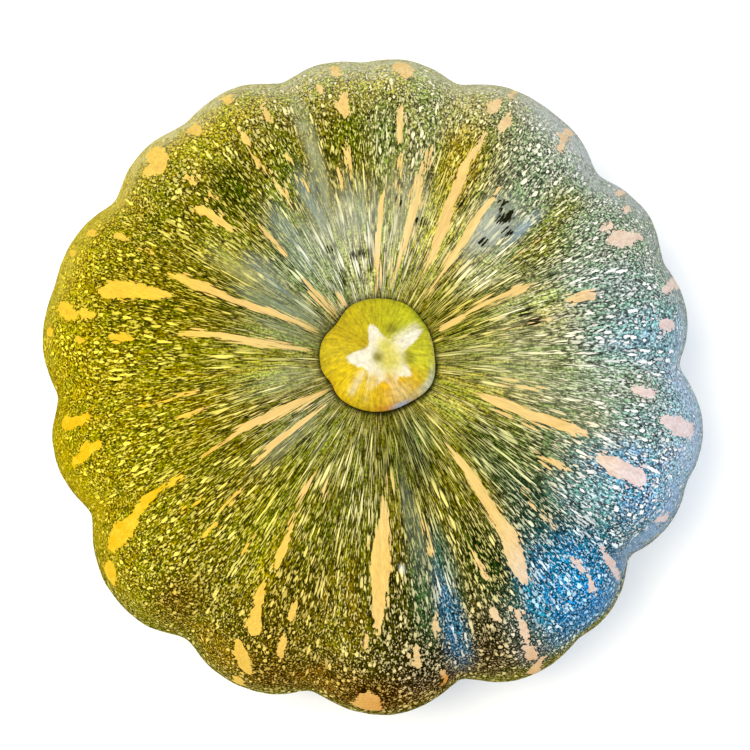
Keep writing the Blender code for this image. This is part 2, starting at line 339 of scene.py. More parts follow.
# Big pale marks: points of azimuth, distance from the crown (mm), width (degrees)
MARKS = (
    ((26, 19, 7), (26.5, 28, 6)),
    ((24.5, 26, 2), (25, 47, 1)),
    ((27.7, 26, 3), (27, 40, 2.4), (26.5, 50, 1)),
    ((53, 22, 1.8), (53.8, 34, 3), (54.6, 47, 3.2), (55, 56, 2.2), (55.3, 63, 0.8)),
    ((28.5, 79, 2), (28, 86, 4.5), (26.5, 98, 1.2)),
    ((9.5, 88, 1.6), (9.6, 94, 2.6), (9.8, 99, 1.2)),
    ((15.5, 95, 1.5), (17, 108, 2.5), (17.5, 124, 2)),
    ((50.5, 87, 1), (51.5, 98, 2), (51.5, 112, 1.4)),
    ((62.8, 24, 1.6), (62.6, 33, 4.5), (64.4, 42, 6.4), (66, 50, 4), (66.6, 60, 3.8),
     (66, 69, 2), (65.5, 77, 0.8)),
    ((62.5, 79, 2), (62.3, 84, 2.8), (62.5, 90, 1.4)),
    ((66.5, 85, 2.2), (66.5, 91, 3.2), (65.5, 97, 1)),
    ((64, 97, 1.2), (64, 124, 1.2)),
    ((81, 19, 2), (79.2, 27, 2.2), (78, 36, 2.8), (77.8, 46, 2.8), (78.2, 56, 2.4),
     (78, 66, 1)),
    ((82.3, 20, 1.6), (82.5, 30, 1)),
    ((83.2, 43, 0.7), (84.2, 60, 0.8)),
    ((90.2, 19, 2.8), (89.6, 29, 2.6), (88.8, 39, 2.4), (88.4, 49, 1)),
    ((84.5, 62, 1), (85, 70, 2), (85, 78, 1)),
    ((84.5, 91, 2.4), (85, 99, 4), (85.5, 106, 2.6)),
    ((97, 72, 2), (97.4, 78, 3), (96, 85, 1.4)),
    ((97.8, 52, 0.8), (97.6, 60, 1.8), (97.4, 67, 0.9)),
    ((100.8, 46, 1), (101, 56, 1.4)),
    ((97, 93, 1.4), (97.6, 104, 2.2)),
    ((112.5, 78, 1), (112.7, 89, 1.6)),
    ((110.3, 49, 1), (112.6, 66, 1)),
    ((117, 47, 1), (119.4, 66, 1), (119, 80, 1.8)),
    ((117.5, 95, 1.6), (118, 104, 2)),
    ((101, 84, 1), (101, 91, 1.5)),
    ((120, 17, 5), (120, 22, 3)),
    ((130.6, 16, 6), (131, 24, 4.4), (131.2, 29, 1.6)),
    ((150.4, 18, 5.6), (152.2, 27, 5), (154.2, 36, 3.8), (155, 43, 3.4), (154.5, 53, 4.6),
     (154.6, 59, 3.4), (154.8, 66, 1.2)),
    ((169.8, 18, 4), (170, 30, 4.2), (170.4, 38, 3.6), (169.8, 48, 3.2), (170.4, 54, 3),
     (170.8, 58, 1.6)),
    ((160.6, 61, 2.2), (161.8, 67, 3.8), (162.2, 75, 5.2), (163, 82, 4.4), (164, 86, 2.4)),
    ((172.5, 70, 1.4), (172.6, 75, 2.2), (172.5, 80, 1.4)),
    ((173.2, 88, 1.6), (173, 92, 1.6)),
    ((168.5, 84, 1.6), (168.3, 91, 2.4)),
    ((169.2, 92, 2.4), (168.6, 98, 3.2), (167.4, 105, 2)),
    ((172, 105, 1.6), (172, 112, 2.2)),
    ((150.5, 83, 1), (150.4, 91, 2.2)),
    ((152.5, 98, 1.4), (152.7, 106, 2)),
    ((157.5, 104, 1.4), (157.5, 111, 1.6)),
    ((135.5, 87, 2), (134, 93, 4), (133.8, 106, 3.4)),
    ((136.5, 91, 2), (137, 98, 2)),
    ((125.5, 93, 2), (125.7, 104, 3)),
    ((133, 73, 1), (133.2, 80, 1.8)),
    ((134.6, 51, 1.4), (135.4, 59, 2.6), (136.6, 69, 2.2)),
    ((132, 60, 1), (132.2, 69, 1.6)),
    ((129, 38, 1), (129.4, 53, 1)),
    ((151, 72, 0.8), (151.4, 80, 1)),
    ((186.2, 50, 1), (186.8, 54, 1.8), (187, 59, 1)),
    ((193.5, 50, 0.9), (193.8, 61, 0.9)),
    ((188.5, 58, 0.8), (188, 72, 0.9)),
    ((208, 16, 5.5), (207.6, 25, 6.4), (206, 34, 6.2), (205, 41, 4), (206, 48, 1.4),
     (207.2, 58, 2)),
    ((219, 20, 3.6), (218.6, 30, 4), (218.6, 39, 3.8), (219.4, 47, 1.4)),
    ((188.2, 89, 1.8), (188.6, 98, 2.8), (188, 107, 3)),
    ((194, 85, 1.8), (194.5, 94, 2.6), (196.4, 105, 1.6)),
    ((208.3, 71, 1.6), (209.3, 80, 2.2), (211.6, 89, 3.6), (212.2, 97, 5), (213.3, 105, 3)),
    ((216, 106, 3), (217.5, 117, 4.4)),
    ((209, 65, 1.6), (209.2, 71, 1.8)),
    ((216.5, 63, 1.2), (216.2, 71, 1.6)),
    ((222.5, 53, 1.2), (222.5, 61, 1.2)),
    ((224.2, 64, 1.4), (224, 71, 1.6)),
    ((233.5, 60, 1.4), (233.6, 68, 1.8)),
    ((240, 35, 0.8), (240.6, 44, 1.2), (241.6, 51, 1)),
    ((241.8, 51, 1.8), (242.6, 59, 3), (243.4, 67, 1.4)),
    ((242.4, 71, 2.4), (243, 79, 3)),
    ((243.6, 79, 2), (244.6, 85, 4), (245.4, 90, 2.4)),
    ((243.2, 94, 2), (245.2, 101, 4), (247.2, 109, 3)),
    ((246, 113, 2), (246.5, 124, 3)),
    ((248.6, 37, 1.4), (248.6, 44, 1.8)),
    ((251.2, 72, 1.2), (251.2, 80, 1.8)),
    ((251, 85, 1.2), (251.8, 96, 1.6)),
    ((272.8, 38, 3.6), (272.5, 47, 4.6), (271.2, 54, 6.4), (271, 60, 6.2), (270.6, 66, 3.8),
     (270.2, 73, 2.4), (270.6, 81, 1)),
    ((274.4, 33, 1), (274.2, 41, 1.6)),
    ((268, 79, 1), (268.2, 85, 1.6)),
    ((278, 84, 1.4), (278, 94, 2)),
    ((282.5, 76, 1), (282.6, 87, 1.4)),
    ((282.5, 99, 1), (282.8, 112, 1.4)),
    ((285, 48, 1), (285.2, 59, 1)),
    ((269, 104, 4), (269, 119, 6)),
    ((297.5, 59, 1), (297.6, 71, 1.8)),
    ((296, 79, 2), (296, 85, 2)),
    ((300.6, 81, 1.4), (300.2, 90, 2), (299.6, 99, 1.4)),
    ((299.2, 99, 2), (299, 109, 3)),
    ((301, 110, 2), (298.6, 118, 3), (299, 128, 2)),
    ((311, 29, 3), (311.2, 38, 4), (310.2, 46, 4), (309.4, 55, 4.2), (308.6, 62, 5.4),
     (307.2, 69, 6), (305.4, 79, 2.6)),
    ((342.6, 28, 3), (342, 36, 4.6), (342, 46, 4.6), (342.4, 55, 4), (342.6, 63, 2)),
    ((338.8, 67, 3), (338.2, 76, 4), (338.6, 88, 3.4)),
    ((351, 85, 2.4), (350.6, 95, 4), (350.4, 106, 2.6)),
    ((351.6, 35, 1.2), (351.6, 47, 1.8)),
    ((321.5, 54, 1), (321.2, 62, 1.4), (320.4, 71, 1)),
    ((323.2, 90, 1.6), (322.6, 99, 2.2), (321, 113, 1.6)),
    ((316.5, 91, 1.2), (316.4, 101, 1.8)),
    ((317.6, 80, 1), (317.6, 89, 1.2)),
    ((356.5, 75, 2.2), (356.2, 84, 2.6)),
    ((332.4, 51, 1), (333, 62, 1.2)),
    ((333.5, 102, 1.4), (334.4, 113, 2.2)),
    ((18, 57, 2), (17.6, 67, 2.4)),
    ((31.5, 79, 1.6), (32, 86, 2)),
    ((33, 95, 1.6), (33.4, 101, 1.8)),
    ((37, 100, 1.6), (37, 111, 1.8)),
    ((13.5, 36, 1.4), (14, 51, 1.2)),
    ((39, 48, 1), (38.8, 62, 1)),
)

# Grey waxy bloom, and over the rim pale haze, partly bloom and partly painted glow: azimuth, distance,
# half width, half length, colour, strength
BLOOM_AND_GLOW = (
    # round the crown
    (0, 40, 16, 12, (186, 188, 136), 0.3),
    (81, 43, 8, 11, (200, 198, 160), 0.5),
    (100, 41, 11, 10, (186, 192, 166), 0.55),
    (113, 38, 6, 9, (186, 192, 166), 0.6),
    (110.5, 49, 4, 9, (150, 168, 158), 0.65),
    (124, 40, 5, 11, (152, 174, 162), 0.7),
    (145, 28, 7, 11, (146, 160, 134), 0.55),
    (161, 26, 6, 9, (138, 150, 118), 0.5),
    (140, 39, 5, 8, (164, 186, 176), 0.55),
    (149, 37, 4, 8, (160, 174, 140), 0.45),
    (190, 25, 9, 8, (164, 168, 118), 0.45),
    (221, 33, 5, 11, (150, 156, 120), 0.5),
    (50, 50, 5.5, 11, (186, 194, 180), 0.75),
    (44.5, 60, 1.4, 9, (156, 180, 190), 0.75),
    (106, 66, 1.8, 26, (180, 184, 142), 0.7),
    (143, 48, 3, 10, (180, 178, 104), 0.6),
    (282, 48, 2.6, 17, (104, 120, 104), 0.7),
    (350, 60, 12, 12, (178, 184, 148), 0.2),
    # over the rim: partly waxy bloom, partly a painted pale glow of light
    (88, 108, 42, 15, (208, 204, 170), 0.7),
    (45, 108, 20, 16, (194, 198, 196), 0.75),
    (128, 110, 15, 10, (228, 220, 166), 0.7),
    (152, 112, 22, 12, (228, 206, 76), 0.6),
    (200, 112, 18, 11, (206, 178, 0), 0.45),
    (0, 110, 24, 13, (186, 202, 216), 0.6),
    (332, 111, 15, 11, (154, 188, 224), 0.65),
    # a pale chip beside a mark
    (276.8, 60, 0.7, 1.2, (240, 246, 240), 1),
)
# Rough scabby spots: azimuth, distance, half width (degrees), half length, strength
SCABS = (
    (49.5, 45.5, 2.6, 1.6, 1),
    (48, 53.5, 3.4, 2.2, 1),
    (50.5, 58, 3.6, 2.6, 0.7),
    (74, 41, 3, 1.5, 0.9),
    (58.5, 39.5, 2.4, 2, 0.7),
    (83, 45, 2.4, 3, 0.5),
    (113.5, 24, 3.4, 2, 1.2),
    (113, 33, 3, 1.2, 0.8),
    (15, 44, 12, 8, 0.45),
    (100, 29, 7, 2.6, 0.5),
    (62, 50, 5, 6, 0.45),
)

# The fine flecks: one cell's width at the rim, and its length at distances from the crown
CELL_WIDTH = 1.6
CELL_LENGTHS = ((0.0, 12.0), (35.0, 10.5), (58.0, 4.6), (85.0, 2.5), (105.0, 2.0), (160.0, 2.0),
                (230.0, 6.0))
# Marks scattered where the big ones above don't reach: start, length and width in mm, drift in degrees
HIDDEN_SEED = 11
HIDDEN_MARKS = 130
HIDDEN_REACH = (122.0, 205.0)
HIDDEN_LENGTHS = (4.0, 16.0)
HIDDEN_WIDTHS = (1.2, 4.4)
HIDDEN_DRIFT = 1.2
NARROWEST_RING = 30.0
# Least and most that a point's depth in a mark is kept at, in mm
MARK_DEPTHS = (-6.0, 3.0)
# A groove this deep in mm counts in full, and its bottom is this wide in degrees
FULL_GROOVE = 9.0
GROOVE_BOTTOM = 4.2

# The ground is painted lighter by a share close to the stem, painted light against the shade of the
# crown's hollow: share, where it is full and ends in mm
CROWN_PAINTED_LIGHT = (0.15, 17.0, 23.0)
UNDERSIDE = (150, 136, 66)
UNDERSIDE_SHARE = 0.55
UNDERSIDE_REACH = (150.0, 205.0)
SCAB = (30, 30, 12)
BLOSSOM_SCAR = (150, 122, 84)
SCAR_REACH = (4.0, 7.0)
# Painted shadow: a dark band on the rind in the gap round the stem's foot, its colour and share
SEAT_SHADOW = (24, 30, 6)
SEAT_SHADOW_SHARE = 0.85
SEAT_SHADOW_REACH = (0.2, 1.3)      # how far past the stem the painted shadow in the rind's seat is full and ends, in mm
# Share of a cell that a fleck's radius takes, least and most
FLECK_RADII = (0.10, 0.47)
FLECK_WOBBLE = (0.8, 0.8, 0.6)
# From where to where in a fleck, in cells, it grows from nothing to its full brightness
FLECK_EDGE = (-0.05, 0.15)
# How far out of a fleck its dark rim reaches, in cells, and how dark the rim is
RIM_REACH = (-0.32, -0.04)
RIM_LEVEL = 0.2
# Brightness of the ground between flecks, from dark to light, in its mottles and its fine grain
GROUND_LEVELS = (0.6, 2.4)
GRAIN_LEVELS = (0.5, 1.55)
# How much finer the cells are near the stem, and where they draw out into streaks
INNER_CELLS = (0.5, 0.5, 1.0)
STREAK_CELLS = (1.2, 1.2, 0.4)
# Where the finer cells end below the crown and begin again above the blossom end, in mm
INNER_CROWN = (34.0, 54.0)
INNER_BLOSSOM = (185.0, 205.0)
# Where streaks begin along the grooves, and the share of them near the stem and where it ends
GROOVE_STREAKS = (30.0, 50.0)
CROWN_STREAKS = 0.25
CROWN_STREAKS_END = (26.0, 46.0)
# How far the marks' edges wander, how long their teeth are, and how far they reach to flecks, in mm
MARK_WANDER = 2.8
MARK_TEETH = 2.2
MARK_GRIP = 1.4
# The ground drifts between greener and browner
GREEN_TURN = (0.92, 1.05, 0.9, 1.0)
BROWN_TURN = (1.06, 0.97, 1.0, 1.0)

# The stem's flank by azimuth
STEM_TONES = (
    (15, (220, 214, 40)),
    (45, (202, 202, 24)),
    (85, (196, 186, 10)),
    (120, (206, 186, 8)),
    (150, (206, 178, 6)),
    (180, (216, 192, 26)),
    (215, (238, 204, 10)),
    (255, (232, 196, 14)),
    (290, (228, 176, 10)),
    (325, (228, 188, 22)),
    (345, (220, 214, 40)),
)
# Azimuth, half width, share of the girth where it begins and is full, colour, strength
STEM_PATCHES = (
    (330, 17, 0.86, 0.96, (226, 226, 190), 0.9),
    (278, 22, 0.88, 0.97, (236, 146, 20), 0.85),
    (300, 14, 0.62, 0.78, (250, 222, 150), 0.6),
    (262, 14, 0.84, 0.95, (244, 214, 40), 0.5),
    (12, 14, 0.93, 1, (250, 206, 130), 0.6),
    (40, 16, 0.90, 1, (120, 150, 14), 0.5),
    (218, 16, 0.92, 1, (252, 190, 6), 0.5),
    (296, 9, 0.93, 0.98, (206, 216, 240), 0.9),
)
CREAM = (240, 232, 206)
# How far outside the star the cream is full and ends, and how ragged that edge is, in mm
CREAM_EDGE = (0.2, 1.5)
CREAM_RAGS = (1.1, 0.5)
# Ridges that stay pale outside the star: azimuth, start and end, half width in mm, strength
CREAM_RIDGES = (
    (33, 6, 14.2, 1.3, 0.7),
    (238, 7, 14, 1.1, 0.5),
    (258, 8, 14.5, 0.9, 0.4),
)
# How far from a ridge's start it comes, and from its end it goes, in mm
RIDGE_COMES = (-1.5, 0.5)
RIDGE_GOES = (-1.5, 0.7)
# Arms of the star with less cream: azimuth, half width; the share lost, from where to where in mm
FADED_ARMS = ((296.0, 12.0), (262.0, 14.0))
FADED_SHARE = 0.8
FADED_REACH = (5.0, 8.0)
# Place from the stem's axis, radius (mm), colour, strength; the darker spots at (8.8, -1.9) and (4.0,
# 6.4) are painted shade in notches between the star's arms
STEM_SPOTS = (
    ((3.6, -2.4), 4.3, (214, 202, 84), 0.95),
    ((2.4, 1.6), 2.6, (214, 204, 84), 0.9),
    ((0.2, -1.6), 1.5, (140, 132, 14), 0.85),
    ((8.8, -1.9), 2.0, (156, 152, 30), 0.85),
    ((4.0, 6.4), 1.9, (140, 134, 24), 0.8),
)
STEM_UNDER = (140, 110, 30)
STEM_UNDER_SHARE = 0.85
STEM_UNDER_REACH = (0.93, 1.0)
STEM_SPECK = (150, 120, 20)
# The painted fibres' pattern: its radius round the stem, and how far it moves a mm outwards
FIBRE_RING = 9.0
FIBRE_STEP = 0.16

# Studio: each lamp's azimuth, elevation, size (m), power (W) and colour
FLOOR_HALF_SIDE = 6.0
FLOOR_COLOR = (0.93, 0.93, 0.93)
LAMP_DISTANCE = 1.4
LAMPS = (("key", 280.0, 75.0, 0.5, 12.0, (1.0, 0.82, 0.50)),)
DOME_COLOR = (0.90, 0.98, 1.10)
DOME_STRENGTH = 1.25
CAMERA_ELEVATION = 81.0
CAMERA_DISTANCE = 0.640
CAMERA_OFFSET = (0.73, 1.92)      # mm to the right and up in the picture
CAMERA_LENS = 101.0
CAMERA_SENSOR = 36.0


def tone_ring(tones, azimuth):
    """A colour for each azimuth, blended round the stem between the listed tones."""
    azimuths = [tone[0] for tone in tones]
    colors = np.array([paint(*tone[1]) for tone in tones])
    return np.stack([np.interp(azimuth % 360.0, azimuths, colors[:, channel], period=360.0)
                     for channel in range(3)], -1)


def spot(column, along, at, from_crown, half_width, half_length):
    """A soft oval spot on the rind, 1 in its middle."""
    return np.exp(-np.hypot(turn(column - at) / half_width, (along - from_crown) / half_length) ** 3)


def blend(below, above, share):
    """Colours mixed by a share for each point."""
    return below + (above - below) * share[:, None]


def mark_depth(marks, column, along):
    """How far inside a big pale mark each point lies, in mm; negative outside."""
    inside = np.full_like(column, MARK_DEPTHS[0])
    millimetres = np.radians(1.0) * ring_radius(along)
    for mark in marks:
        azimuths, places, widths = np.array(mark).T
        middle = np.interp(along, places, azimuths)
        half = 0.5 * np.interp(along, places, widths) * millimetres
        length = places[-1] - places[0]
        share = np.clip((along - places[0]) / length, 0.0, 1.0)
        half *= np.sqrt(1.0 - np.abs(2.0 * share - 1.0) ** 5)
        across = np.abs(turn(column - middle)) * millimetres
        beyond = np.maximum(np.maximum(places[0] - along, along - places[-1]), 0.0)
        depth = np.where(beyond > 0.0, -np.hypot(beyond, across), half - across)
        inside = np.maximum(inside, depth)
    return inside


def hidden_marks():
    """Marks of the sides and the underside, scattered at random."""
    chance = np.random.default_rng(HIDDEN_SEED)
    marks = []
    for _ in range(HIDDEN_MARKS):
        azimuth = chance.uniform(0.0, 360.0)
        start = chance.uniform(*HIDDEN_REACH)
        length = chance.uniform(*HIDDEN_LENGTHS)
        width = chance.uniform(*HIDDEN_WIDTHS) * CREST_RADIUS / max(ring_radius(start), NARROWEST_RING)
        drift = chance.uniform(-HIDDEN_DRIFT, HIDDEN_DRIFT)
        marks.append(((azimuth, start, 0.6 * width),
                      (azimuth + 0.6 * drift, start + 0.5 * length, width),
                      (azimuth + drift, start + length, 0.7 * width)))
    return tuple(marks)


def pattern_place(column, along):
    """Place in the pattern of fine flecks, in cells: round the rim, and along the rind."""
    around = CREST_RADIUS / CELL_WIDTH
    lengths = np.interp(PROFILE_ALONG, *np.array(CELL_LENGTHS).T)
    counts = np.concatenate(([0.0], np.cumsum(np.diff(PROFILE_ALONG) / lengths[1:])))
    turned = np.radians(column)
    return np.stack((around * np.cos(turned), around * np.sin(turned),
                     np.interp(along, PROFILE_ALONG, counts)), -1)


def groove_share(azimuth, crownward):
    """How near each point is to the bottom of a groove, weighed by the groove's depth."""
    share = np.zeros_like(azimuth)
    for rim_azimuth, lean, groove in GROOVES:
        away = turn(azimuth - rim_azimuth - lean * crownward)
        share = np.maximum(share, min(groove / FULL_GROOVE, 1.0) * bump(away, GROOVE_BOTTOM))
    return share


# ---------------------------------------------------------------- meshes

def sphere_mesh(name, segments, rings):
    """A UV sphere, with each vertex's azimuth in degrees and polar angle in radians."""
    mesh = bpy.data.meshes.new(name)
    shape = bmesh.new()
    bmesh.ops.create_uvsphere(shape, u_segments=segments // 2, v_segments=rings // 2, radius=1.0)
    bmesh.ops.subdivide_edges(shape, edges=shape.edges, cuts=1, use_grid_fill=True)
    shape.to_mesh(mesh)
    shape.free()
    points = np.empty(len(mesh.vertices) * 3)
    mesh.vertices.foreach_get("co", points)
    x, y, z = points.reshape(-1, 3).T
    return mesh, np.degrees(np.arctan2(y, x)) % 360.0, np.arctan2(np.hypot(x, y), z)


def place_vertices(mesh, points):
    """Puts a mesh's vertices at points in mm."""
    mesh.vertices.foreach_set("co", (points * MM).ravel())
    mesh.update()
    mesh.shade_smooth()


def box_fit(points, box):
    """Scale and shift that make points in mm fill a CAD node's box."""
    low, high = (np.array(corner) / MM for corner in box)
    scale = (high - low) / (points.max(0) - points.min(0))
    return scale, low - points.min(0) * scale


def store(mesh, name, values):
    """Keeps a number, a vector or a colour with alpha for each vertex, for the shader to read."""
    kinds = {1: ("FLOAT", "value"), 3: ("FLOAT_VECTOR", "vector"), 4: ("FLOAT_COLOR", "color")}
    kind, part = kinds[1 if values.ndim == 1 else values.shape[1]]
    mesh.attributes.new(name, kind, "POINT").data.foreach_set(part, values.ravel())


def roughness_field(points, size):
    """Smooth noise at points in mm, with bumps of a size in mm."""
    return np.array([noise.fractal(Vector(point), 1.0, 2.0, 3) for point in points / size])


def show_piece(name, mesh, material, node):
    """Adds a piece that rides with the squash and stands for a CAD node."""
    mesh.materials.append(material)
    piece = bpy.data.objects.new(name, mesh)
    bpy.context.scene.collection.objects.link(piece)
    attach(piece, "root")
    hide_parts(node)


def rind_tones(column, along):
    """Tones of the ground and the flecks, partly painted light, and the flecks' size, from the soft
    zones.
    """
    ground = np.tile(paint(*OLIVE), (len(column), 1))
    fleck = np.tile(paint(*CREAM_FLECK), (len(column), 1))
    cover = np.ones_like(column)
    drawn_out = np.minimum(along, RIM_ALONG) + ZONE_TAIL * np.maximum(along - RIM_ALONG, 0.0)
    for at, from_crown, half_width, half_length, ground_tone, fleck_tone, strength, *shrink in ZONES:
        share = strength * spot(column, drawn_out, at, from_crown, half_width, half_length)
        ground = blend(ground, paint(*ground_tone), share)
        fleck = blend(fleck, paint(*fleck_tone), share)
        cover *= 1.0 - sum(shrink) * share
    return ground, fleck, cover


def mark_tones(column, along, below_rim):
    """Tone that a big mark has at each point."""
    mark = np.tile(paint(*PEACH), (len(column), 1))
    for at, half_width, start, full, tone in MARK_SIDES:
        share = bump(turn(column - at), half_width) * ramp(along, start, full)
        mark = blend(mark, paint(*tone), share * (1.0 - TINT_LOSS * below_rim))
    return mark


def bloom_and_glow_tones(column, along):
    """Colour of the waxy bloom, over the rim partly a painted glow of light, at each point, and as alpha
    how much it covers.
    """
    bloom_and_glow = np.zeros((len(column), 4))
    for at, from_crown, half_width, half_length, color, strength in BLOOM_AND_GLOW:
        share = strength * spot(column, along, at, from_crown, half_width, half_length)
        over = share / np.maximum(share + bloom_and_glow[:, 3] * (1.0 - share), 1e-6)
        bloom_and_glow[:, :3] = blend(bloom_and_glow[:, :3], paint(*color), over)
        bloom_and_glow[:, 3] += share * (1.0 - bloom_and_glow[:, 3])
    return bloom_and_glow


def scabbiness(column, along):
    """How scabby the rind is at each point."""
    scab = np.zeros_like(column)
    for at, from_crown, half_width, half_length, strength in SCABS:
        scab += strength * spot(column, along, at, from_crown, half_width, half_length)
    return scab


def past_stem(azimuth, along):
    """How far outside the stem's girth each point of the rind is, seen from above, in mm."""
    turned = np.radians(azimuth)
    x = ring_radius(along) * np.cos(turned) - STEM_SHIFT[0]
    y = ring_radius(along) * np.sin(turned) - STEM_SHIFT[1]
    return np.hypot(x, y) - stem_outline(np.degrees(np.arctan2(y, x)))


def paint_rind(mesh, azimuth, column, along, crownward):
    """Stores what the rind's shader needs at each vertex."""
    below_rim = ramp(along, RIM_ALONG, RIM_ALONG + BELOW_RIM)
    in_groove = groove_share(azimuth, crownward)
    # painted shade: the grooves below the rim darkened, ground and flecks alike
    shade = (1.0 - GROOVE_SHADE * in_groove * below_rim)[:, None]
    ground, fleck, cover = rind_tones(column, along)
    # painted light: the ground lightened round the stem against the hollow's shade
    light, light_full, light_end = CROWN_PAINTED_LIGHT
    ground *= (1.0 + light * (1.0 - ramp(along, light_full, light_end)))[:, None]
    ground *= shade
    ground = blend(ground, paint(*UNDERSIDE), UNDERSIDE_SHARE * ramp(along, *UNDERSIDE_REACH))
    depth = np.clip(mark_depth(MARKS + hidden_marks(), column, along), *MARK_DEPTHS)
    inner = 1.0 - ramp(along, *INNER_CROWN) + ramp(along, *INNER_BLOSSOM)
    streak = np.maximum(in_groove * ramp(along, *GROOVE_STREAKS),
                        CROWN_STREAKS * (1.0 - ramp(along, *CROWN_STREAKS_END)))
    store(mesh, "ground", ground)
    store(mesh, "fleck", FLECK_GAIN * (fleck * shade))
    store(mesh, "mark_tint", mark_tones(column, along, below_rim))
    store(mesh, "bloom_and_glow", bloom_and_glow_tones(column, along))
    store(mesh, "cover", cover)
    store(mesh, "scab", scabbiness(column, along))
    store(mesh, "mark", depth)
    store(mesh, "cells", pattern_place(column, along))
    store(mesh, "inner", inner)
    store(mesh, "streak", streak)
    # where the painted shadow round the stem lies
    store(mesh, "seat", 1.0 - ramp(past_stem(azimuth, along), *SEAT_SHADOW_REACH))
    store(mesh, "scar", 1.0 - ramp(WHOLE_MERIDIAN - along, *SCAR_REACH))


def make_fruit(material):
    """The fruit on a fine mesh, its rind painted.  Returns where its rim's centre is, in mm."""
    mesh, column, ring = sphere_mesh("squash_fruit", *FRUIT_MESH)
    pull = (TOP_RING_SHARE - 0.5) / (TOP_RING_SHARE * (1.0 - TOP_RING_SHARE))
    share = ring / math.pi
    polar = math.pi * (share - pull * share * (1.0 - share))
    azimuth = column_azimuth(column, polar)
    along = np.interp(polar, PROFILE_POLAR, PROFILE_ALONG)
    points = skin_points(azimuth, polar)
    size, height = UNEVENNESS
    swell = height * roughness_field(points, size) * ramp(along, *UNEVEN_FROM)
    points += points / np.linalg.norm(points, axis=1)[:, None] * swell[:, None]
    points[:, 2] = np.maximum(points[:, 2], resting_plane())
    scale, shift = box_fit(points, FRUIT_BOX)
    place_vertices(mesh, points * scale + shift)
    paint_rind(mesh, azimuth, column, along, np.maximum(np.cos(polar), 0.0))
    show_piece("squash_fruit", mesh, material, "fruit")
    return shift


def heights_under_stem(azimuth, stem_radius):
    """Height of the rind under places on the stem, given about the stem's own axis."""
    turned = np.radians(azimuth)
    x, y = stem_radius * np.cos(turned) + STEM_SHIFT[0], stem_radius * np.sin(turned) + STEM_SHIFT[1]
    return crown_heights(np.degrees(np.arctan2(y, x)), np.hypot(x, y))


def crown_heights(azimuth, radius):
    """Height of the rind in the crown's hollow, near enough to the axis to have no grooves."""
    polar = np.arcsin(np.minimum(radius / CREST_RADIUS, 1.0))
    for _ in range(CROWN_ROUNDS):
        points = skin_points(azimuth, polar)
        reached = np.hypot(points[..., 0] - CROWN_SHIFT[0], points[..., 1] - CROWN_SHIFT[1])
        polar = polar + (radius - reached) / CREST_RADIUS
    return points[..., 2]


def star_radius(azimuth):
    """Radius of the cut face about its own centre."""
    return STAR_VALLEY + sum((length - STAR_VALLEY) * bump(turn(azimuth - at), width)
                             for at, length, width in STAR_ARMS)


def stem_points(azimuth, share):
    """Points of the stem in mm, their distance outside the cut star, and their share of its girth."""
    outline = stem_outline(azimuth)
    girth_height = heights_under_stem(azimuth, outline) + STEM_GIRTH_HEIGHT
    cut_height = crown_heights(np.zeros(1), np.zeros(1))[0] + STEM_CUT_HEIGHT
    on_top = share <= STEM_TOP_SHARE
    under = np.clip((share - STEM_TOP_SHARE) / (1.0 - STEM_TOP_SHARE), 0.0, 1.0)
    rising = np.minimum(share / STEM_TOP_SHARE, 1.0)
    radius = outline * np.where(on_top, np.sin(0.5 * math.pi * rising), np.cos(0.5 * math.pi * under))
    turned = np.radians(azimuth)
    x, y = radius * np.cos(turned), radius * np.sin(turned)
    star_x, star_y = x - STAR_CENTRE[0], y - STAR_CENTRE[1]
    from_star = np.hypot(star_x, star_y)
    outside = from_star - star_radius(np.degrees(np.arctan2(star_y, star_x)))
    fallen = np.clip(outside / (outside + np.maximum(outline - radius, 0.0) + 1e-9), 0.0, 1.0)
    power, root = STEM_SHOULDER
    slope = girth_height + (cut_height - girth_height) * (1.0 - fallen ** power) ** root
    face = cut_height - PITH_DIMPLE[0] * bump(from_star, PITH_DIMPLE[1])
    seat = heights_under_stem(azimuth, radius) + SEAT_GAP
    tuck = np.maximum(radius / outline - STEM_FOOT, 0.0) / (1.0 - STEM_FOOT)
    foot = seat + (girth_height - seat) * tuck ** STEM_FOOT_CURL
    height = np.where(on_top, np.where(outside <= 0.0, face, slope), foot)
    return np.stack((x, y, height), -1), outside, radius / outline


def near_point(x, y, at, radius):
    """A soft round spot on the stem, seen from above."""
    return np.exp(-(np.hypot(x - at[0], y - at[1]) / radius) ** 3)


def fibre_place(azimuth, ring, outwards):
    """Place in a pattern of fibres that run outwards from the stem's axis."""
    turned = np.radians(azimuth)
    return np.stack((ring * np.cos(turned), ring * np.sin(turned), outwards), -1)


